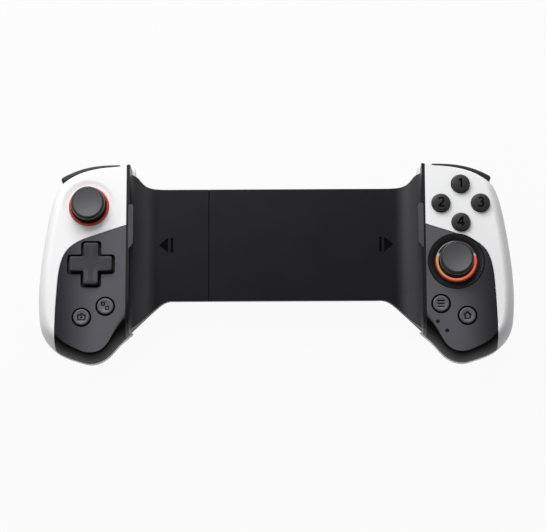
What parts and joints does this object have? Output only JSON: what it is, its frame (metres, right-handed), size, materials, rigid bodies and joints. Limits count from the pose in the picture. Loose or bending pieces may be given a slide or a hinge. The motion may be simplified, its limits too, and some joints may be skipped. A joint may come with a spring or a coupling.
{
  "type": "mobile game controller",
  "caption": "Telescopic controller that clamps a phone between two grips with sticks, buttons, direction pad and shoulder triggers, joined by a spring-loaded sliding bridge.",
  "frame": {"origin": "on the table, under the middle of the whole controller when it is closed", "axes": "+X towards the right grip, +Y towards the shoulder buttons, +Z out of the face"},
  "size_m": [0.2292, 0.097, 0.0383],
  "materials": {
    "white_plastic": "satin",
    "charcoal_plastic": "fine texture",
    "black_plastic": "satin",
    "soft_pad": "matte",
    "stick_rubber": "matte",
    "light_guide": "translucent",
    "button_plastic": "satin",
    "membrane_rubber": "matte",
    "circuit_board": "solder mask",
    "steel": "plain",
    "battery_foil": "foil",
    "ribbon": "film",
    "gimbal_plastic": "plain",
    "clear_plastic": "clear"
  },
  "bodies": {
    "right_half": {"right_front_shell": "white_plastic", "right_face_panel": "charcoal_plastic", "right_rear_shell": "white_plastic", "right_side_frame": "black_plastic", "right_phone_lip": "soft_pad", "right_bridge_cover": "black_plastic", "right_bridge_back": "black_plastic", "guide_rails": "steel", "right_board": "circuit_board", "charge_port": "steel", "right_stick_module": "gimbal_plastic", "right_stick_ring": "light_guide", "right_upper_membrane": "membrane_rubber", "right_lower_membrane": "membrane_rubber", "status_lights": "clear_plastic", "right_screws": "steel", "right_trigger_pin": "steel", "right_trigger_spring": "steel"},
    "left_half": {"left_front_shell": "white_plastic", "left_face_panel": "charcoal_plastic", "left_rear_shell": "white_plastic", "left_side_frame": "black_plastic", "left_phone_lip": "soft_pad", "left_bridge_cover": "black_plastic", "left_bridge_back": "black_plastic", "slide_tray": "black_plastic", "left_board": "circuit_board", "battery": "battery_foil", "left_stick_module": "gimbal_plastic", "left_stick_ring": "light_guide", "left_membrane": "membrane_rubber", "dpad_cup": "gimbal_plastic", "left_screws": "steel", "left_trigger_pin": "steel", "left_trigger_spring": "steel", "return_springs": "steel", "flex_cable": "ribbon"},
    "face_button_top": {"face_button_top": "button_plastic"},
    "face_button_left": {"face_button_left": "button_plastic"},
    "face_button_right": {"face_button_right": "button_plastic"},
    "face_button_bottom": {"face_button_bottom": "button_plastic"},
    "menu_button": {"menu_button": "button_plastic"},
    "home_button": {"home_button": "button_plastic"},
    "view_button": {"view_button": "button_plastic"},
    "capture_button": {"capture_button": "button_plastic"},
    "right_stick_yoke": {"right_stick_yoke": "gimbal_plastic"},
    "right_stick_shaft": {"right_stick_shaft": "gimbal_plastic"},
    "right_stick_cap": {"right_stick_cap": "stick_rubber"},
    "left_stick_yoke": {"left_stick_yoke": "gimbal_plastic"},
    "left_stick_shaft": {"left_stick_shaft": "gimbal_plastic"},
    "left_stick_cap": {"left_stick_cap": "stick_rubber"},
    "dpad_ball": {"dpad_ball": "steel"},
    "dpad": {"dpad": "button_plastic"},
    "right_bumper": {"right_bumper": "button_plastic"},
    "left_bumper": {"left_bumper": "button_plastic"},
    "right_trigger": {"right_trigger": "button_plastic"},
    "left_trigger": {"left_trigger": "button_plastic"}
  },
  "joints": [
    {"name": "bridge_slide", "type": "slide", "parent": "right_half", "child": "left_half", "axis": [-1, 0, 0], "range_m": [0, 0.04], "stiffness_N_per_m": 130, "springref_m": -0.025, "deforming": ["return_springs"]},
    {"name": "face_button_top_press", "type": "slide", "parent": "right_half", "child": "face_button_top", "axis": [0, 0, -1], "range_m": [0, 0.0012], "stiffness_N_per_m": 800, "springref_m": -0.0006},
    {"name": "face_button_left_press", "type": "slide", "parent": "right_half", "child": "face_button_left", "axis": [0, 0, -1], "range_m": [0, 0.0012], "stiffness_N_per_m": 800, "springref_m": -0.0006},
    {"name": "face_button_right_press", "type": "slide", "parent": "right_half", "child": "face_button_right", "axis": [0, 0, -1], "range_m": [0, 0.0012], "stiffness_N_per_m": 800, "springref_m": -0.0006},
    {"name": "face_button_bottom_press", "type": "slide", "parent": "right_half", "child": "face_button_bottom", "axis": [0, 0, -1], "range_m": [0, 0.0012], "stiffness_N_per_m": 800, "springref_m": -0.0006},
    {"name": "menu_button_press", "type": "slide", "parent": "right_half", "child": "menu_button", "axis": [0, 0, -1], "range_m": [0, 0.0012], "stiffness_N_per_m": 800, "springref_m": -0.0006},
    {"name": "home_button_press", "type": "slide", "parent": "right_half", "child": "home_button", "axis": [0, 0, -1], "range_m": [0, 0.0012], "stiffness_N_per_m": 800, "springref_m": -0.0006},
    {"name": "view_button_press", "type": "slide", "parent": "left_half", "child": "view_button", "axis": [0, 0, -1], "range_m": [0, 0.0012], "stiffness_N_per_m": 800, "springref_m": -0.0006},
    {"name": "capture_button_press", "type": "slide", "parent": "left_half", "child": "capture_button", "axis": [0, 0, -1], "range_m": [0, 0.0012], "stiffness_N_per_m": 800, "springref_m": -0.0006},
    {"name": "right_stick_tilt_y", "type": "hinge", "parent": "right_half", "child": "right_stick_yoke", "pos_m": [0.0864, -0.00145, 0.018], "axis": [1, 0, 0], "range_deg": [-15, 15], "stiffness_Nm_per_rad": 0.05},
    {"name": "right_stick_tilt_x", "type": "hinge", "parent": "right_stick_yoke", "child": "right_stick_shaft", "pos_m": [0.0864, -0.00145, 0.018], "axis": [0, 1, 0], "range_deg": [-15, 15], "stiffness_Nm_per_rad": 0.05},
    {"name": "right_stick_press", "type": "slide", "parent": "right_stick_shaft", "child": "right_stick_cap", "axis": [0, 0, -1], "range_m": [0, 0.0005], "stiffness_N_per_m": 3000, "springref_m": -0.0006},
    {"name": "left_stick_tilt_y", "type": "hinge", "parent": "left_half", "child": "left_stick_yoke", "pos_m": [-0.09, 0.02644, 0.018], "axis": [1, 0, 0], "range_deg": [-15, 15], "stiffness_Nm_per_rad": 0.05},
    {"name": "left_stick_tilt_x", "type": "hinge", "parent": "left_stick_yoke", "child": "left_stick_shaft", "pos_m": [-0.09, 0.02644, 0.018], "axis": [0, 1, 0], "range_deg": [-15, 15], "stiffness_Nm_per_rad": 0.05},
    {"name": "left_stick_press", "type": "slide", "parent": "left_stick_shaft", "child": "left_stick_cap", "axis": [0, 0, -1], "range_m": [0, 0.0005], "stiffness_N_per_m": 3000, "springref_m": -0.0006},
    {"name": "dpad_rock_y", "type": "hinge", "parent": "left_half", "child": "dpad_ball", "pos_m": [-0.0886, -0.00226, 0.0252], "axis": [1, 0, 0], "range_deg": [-5, 5], "stiffness_Nm_per_rad": 0.08},
    {"name": "dpad_rock_x", "type": "hinge", "parent": "dpad_ball", "child": "dpad", "pos_m": [-0.0886, -0.00226, 0.0252], "axis": [0, 1, 0], "range_deg": [-5, 5], "stiffness_Nm_per_rad": 0.08},
    {"name": "right_bumper_press", "type": "hinge", "parent": "right_half", "child": "right_bumper", "pos_m": [0.0776, 0.04394, 0.0216], "axis": [0, 0, -1], "range_deg": [0, 2.8], "stiffness_Nm_per_rad": 0.4, "springref_deg": -1.72},
    {"name": "right_trigger_pull", "type": "hinge", "parent": "right_half", "child": "right_trigger", "pos_m": [0.087, 0.04015, 0.0112], "axis": [-1, 0, 0], "range_deg": [0, 16], "stiffness_Nm_per_rad": 0.02, "springref_deg": -11.46},
    {"name": "left_bumper_press", "type": "hinge", "parent": "left_half", "child": "left_bumper", "pos_m": [-0.0776, 0.04394, 0.0216], "axis": [0, 0, 1], "range_deg": [0, 2.8], "stiffness_Nm_per_rad": 0.4, "springref_deg": -1.72},
    {"name": "left_trigger_pull", "type": "hinge", "parent": "left_half", "child": "left_trigger", "pos_m": [-0.087, 0.04015, 0.0112], "axis": [-1, 0, 0], "range_deg": [0, 16], "stiffness_Nm_per_rad": 0.02, "springref_deg": -11.46}
  ]
}
